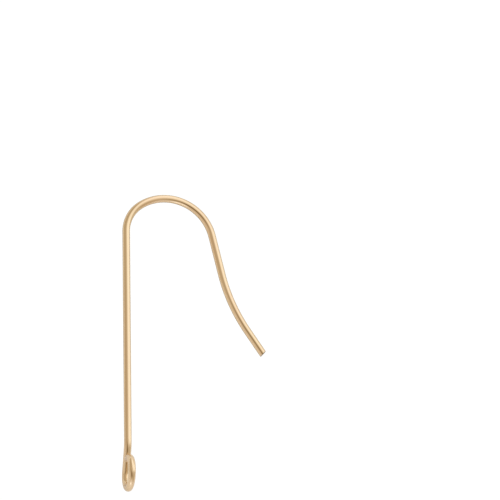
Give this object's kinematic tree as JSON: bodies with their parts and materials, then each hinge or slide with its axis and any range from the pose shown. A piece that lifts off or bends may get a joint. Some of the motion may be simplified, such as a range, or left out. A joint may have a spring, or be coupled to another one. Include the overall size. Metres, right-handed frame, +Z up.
{
  "type": "ear wire",
  "caption": "Fish-hook ear wire bent from round gold-coloured wire: an eye for a drop, a long straight shank, a rounded bow over the ear and a flared tail.",
  "frame": {"origin": "middle of the bounding box's base, on the surface that it lies on", "axes": "+Y along the shank from the eye up to the bow, +X from the shank towards the tail, +Z up off the surface"},
  "size_m": [0.0134, 0.0286, 0.0034],
  "materials": {
    "gold_filled_wire": "polished pale gold-filled wire with faint draw lines"
  },
  "bodies": {
    "root": {"ear_wire": "gold_filled_wire"}
  },
  "joints": []
}
